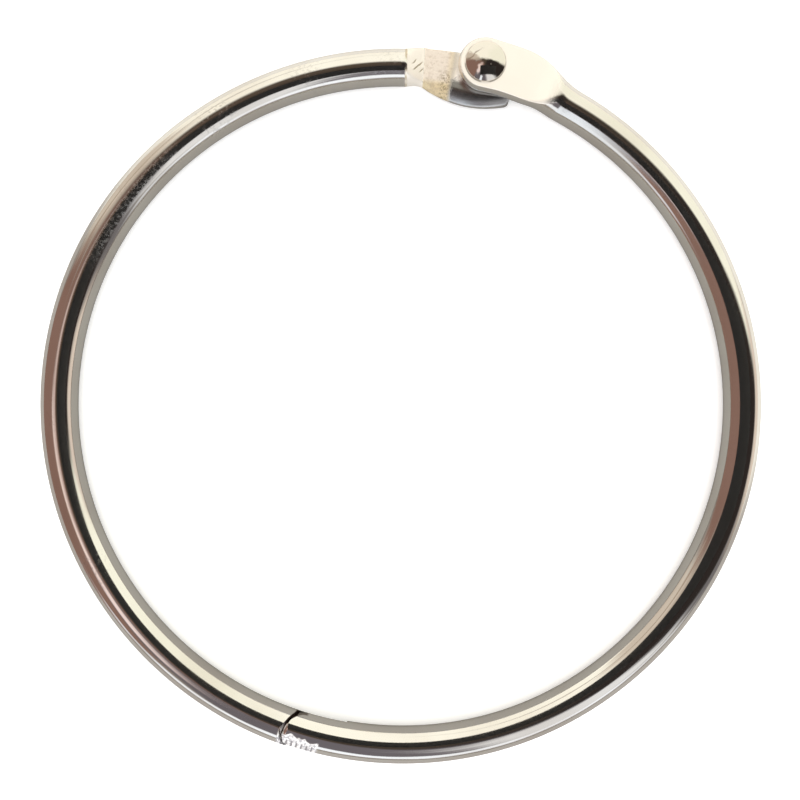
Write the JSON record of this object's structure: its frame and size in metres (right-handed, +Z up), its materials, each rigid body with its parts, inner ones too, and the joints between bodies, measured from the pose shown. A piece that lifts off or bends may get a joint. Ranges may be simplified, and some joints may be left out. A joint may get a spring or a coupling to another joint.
{
  "type": "binder ring",
  "caption": "Round loose-leaf ring of bright plated wire: two hinged half rings that turn on a domed rivet and close with a half-lapped snap clasp.",
  "frame": {"origin": "centre of the closed ring, on the plane that the ring lies on", "axes": "+Z up, square to the ring's plane and towards the rivet's domed head; +Y from the centre towards the hinge; +X towards the arm that carries the paddle"},
  "size_m": [0.076, 0.0775, 0.0046],
  "materials": {
    "plated_wire": "bright nickel plate on steel wire, with fine handling scratches",
    "plated_rivet": "polished nickel plate on a steel rivet"
  },
  "bodies": {
    "left_half": {"left_arm": "plated_wire", "hinge_rivet": "plated_rivet"},
    "right_half": {"right_arm": "plated_wire"}
  },
  "joints": [
    {"name": "hinge", "type": "hinge", "parent": "left_half", "child": "right_half", "pos_m": [0, 0.0367, 0.0019], "axis": [0, 0, 1], "range_deg": [0, 150]}
  ]
}
